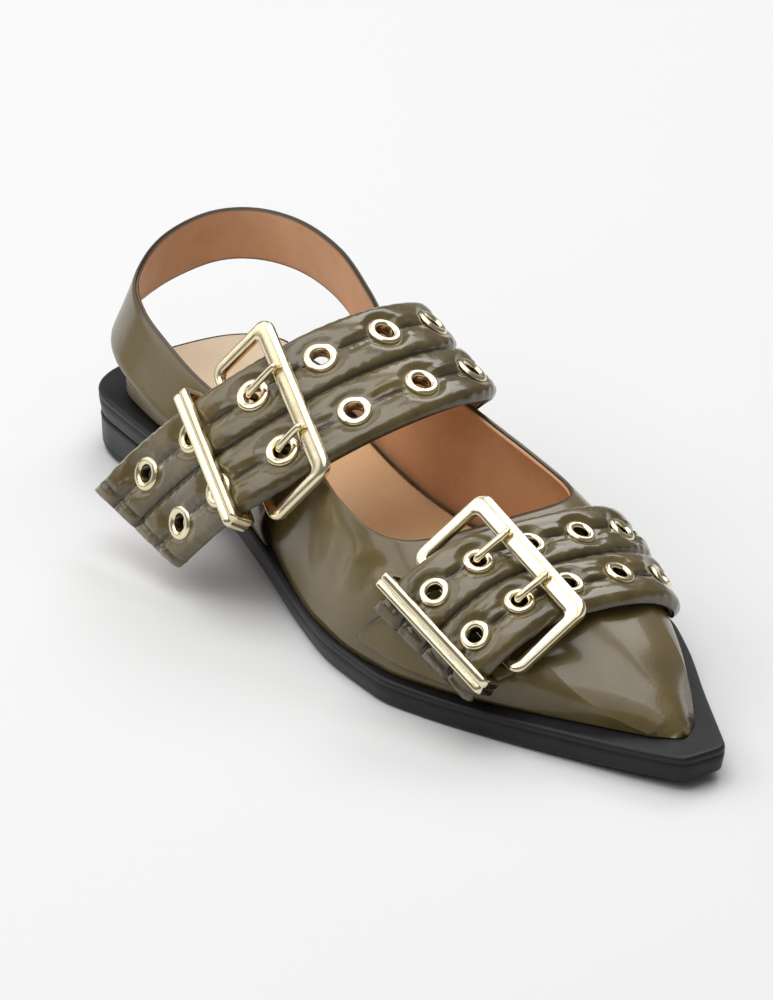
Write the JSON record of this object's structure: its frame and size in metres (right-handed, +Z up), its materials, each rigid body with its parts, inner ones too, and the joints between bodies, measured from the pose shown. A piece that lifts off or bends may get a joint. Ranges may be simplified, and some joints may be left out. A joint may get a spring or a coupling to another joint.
{
  "type": "slingback shoe",
  "caption": "Right pointed-toe slingback flat with a hollow vamp, wide padded buckled straps over toe and instep, eyelets, a low heel and a heel sling.",
  "frame": {"origin": "on the floor under the middle of the heel", "axes": "+X towards the toe, +Y towards the inner side of the foot, +Z up"},
  "size_m": [0.2729, 0.1055, 0.0743],
  "materials": {
    "olive_leather": "polished olive calf leather, glossy",
    "tan_leather": "smooth tan lining leather, matt",
    "pale_gold": "polished pale gold plating",
    "black_rubber": "black moulded sole and heel, satin"
  },
  "bodies": {
    "root": {"outsole": "black_rubber", "heel": "black_rubber", "insole": "tan_leather", "upper": "olive_leather", "toe_strap": "olive_leather", "toe_strap_eyelet_rear_1": "pale_gold", "toe_strap_eyelet_front_1": "pale_gold", "toe_strap_eyelet_rear_2": "pale_gold", "toe_strap_eyelet_front_2": "pale_gold", "toe_strap_eyelet_rear_3": "pale_gold", "toe_strap_eyelet_front_3": "pale_gold", "toe_strap_eyelet_rear_4": "pale_gold", "toe_strap_eyelet_front_4": "pale_gold", "toe_strap_eyelet_rear_5": "pale_gold", "toe_strap_eyelet_front_5": "pale_gold", "toe_buckle_frame": "pale_gold", "toe_buckle_prong_1": "pale_gold", "toe_buckle_prong_2": "pale_gold", "toe_buckle_keeper": "pale_gold", "toe_tab": "olive_leather", "instep_strap": "olive_leather", "instep_strap_eyelet_rear_1": "pale_gold", "instep_strap_eyelet_front_1": "pale_gold", "instep_strap_eyelet_rear_2": "pale_gold", "instep_strap_eyelet_front_2": "pale_gold", "instep_strap_eyelet_rear_3": "pale_gold", "instep_strap_eyelet_front_3": "pale_gold", "instep_strap_eyelet_rear_4": "pale_gold", "instep_strap_eyelet_front_4": "pale_gold", "instep_strap_eyelet_rear_5": "pale_gold", "instep_strap_eyelet_front_5": "pale_gold", "instep_strap_eyelet_rear_6": "pale_gold", "instep_strap_eyelet_front_6": "pale_gold", "instep_strap_eyelet_rear_7": "pale_gold", "instep_strap_eyelet_front_7": "pale_gold", "instep_buckle_frame": "pale_gold", "instep_buckle_prong_1": "pale_gold", "instep_buckle_prong_2": "pale_gold", "instep_buckle_keeper": "pale_gold", "instep_tab": "olive_leather", "sling_strap": "olive_leather"}
  },
  "joints": []
}
